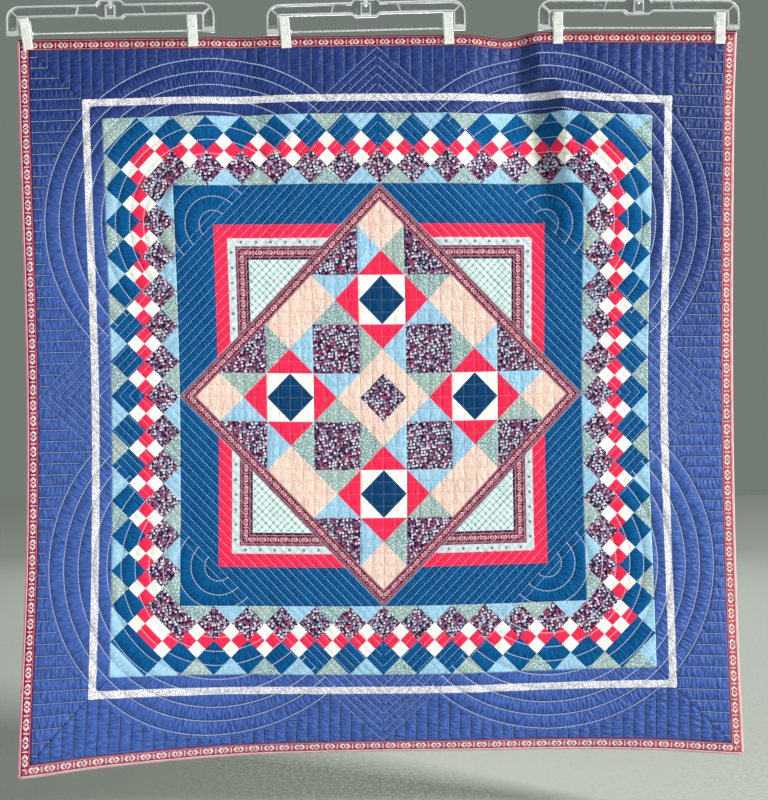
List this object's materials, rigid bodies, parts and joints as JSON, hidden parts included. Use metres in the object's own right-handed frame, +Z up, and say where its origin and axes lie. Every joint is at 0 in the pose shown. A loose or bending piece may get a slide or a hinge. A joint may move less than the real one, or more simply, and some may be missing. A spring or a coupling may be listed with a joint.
{
  "type": "patchwork quilt on clip hangers",
  "caption": "Square patchwork medallion quilt with printed edge bands, hung face on from clear clip hangers on swivel hooks.",
  "frame": {"origin": "seat of the middle hanger's hook, at the crown of its inside", "axes": "+Z up, +X to the right as seen from the front, the quilt's front faces -Y"},
  "size_m": [1.2967, 0.0731, 1.4413],
  "materials": {
    "quilt_cotton": "quilted cotton patchwork, matt with a faint sheen",
    "print_cotton": "printed cotton",
    "clear_plastic": "clear moulded",
    "clip_plastic": "milky clear, ribbed",
    "bright_steel": "bright plated"
  },
  "bodies": {
    "root": {"quilt_body": "quilt_cotton", "top_band": "print_cotton", "left_band": "print_cotton", "bottom_band": "print_cotton", "right_band": "print_cotton", "left_hanger_hook": "bright_steel", "left_hanger_frame": "clear_plastic", "left_hanger_bar": "bright_steel", "left_hanger_left_clip_front_jaw": "clip_plastic", "left_hanger_left_clip_back_jaw": "clip_plastic", "left_hanger_left_clip_spring": "bright_steel", "left_hanger_right_clip_front_jaw": "clip_plastic", "left_hanger_right_clip_back_jaw": "clip_plastic", "left_hanger_right_clip_spring": "bright_steel", "middle_hanger_hook": "bright_steel", "middle_hanger_frame": "clear_plastic", "middle_hanger_bar": "bright_steel", "middle_hanger_left_clip_front_jaw": "clip_plastic", "middle_hanger_left_clip_back_jaw": "clip_plastic", "middle_hanger_left_clip_spring": "bright_steel", "middle_hanger_right_clip_front_jaw": "clip_plastic", "middle_hanger_right_clip_back_jaw": "clip_plastic", "middle_hanger_right_clip_spring": "bright_steel", "right_hanger_hook": "bright_steel", "right_hanger_frame": "clear_plastic", "right_hanger_bar": "bright_steel", "right_hanger_left_clip_front_jaw": "clip_plastic", "right_hanger_left_clip_back_jaw": "clip_plastic", "right_hanger_left_clip_spring": "bright_steel", "right_hanger_right_clip_front_jaw": "clip_plastic", "right_hanger_right_clip_back_jaw": "clip_plastic", "right_hanger_right_clip_spring": "bright_steel"}
  },
  "joints": []
}
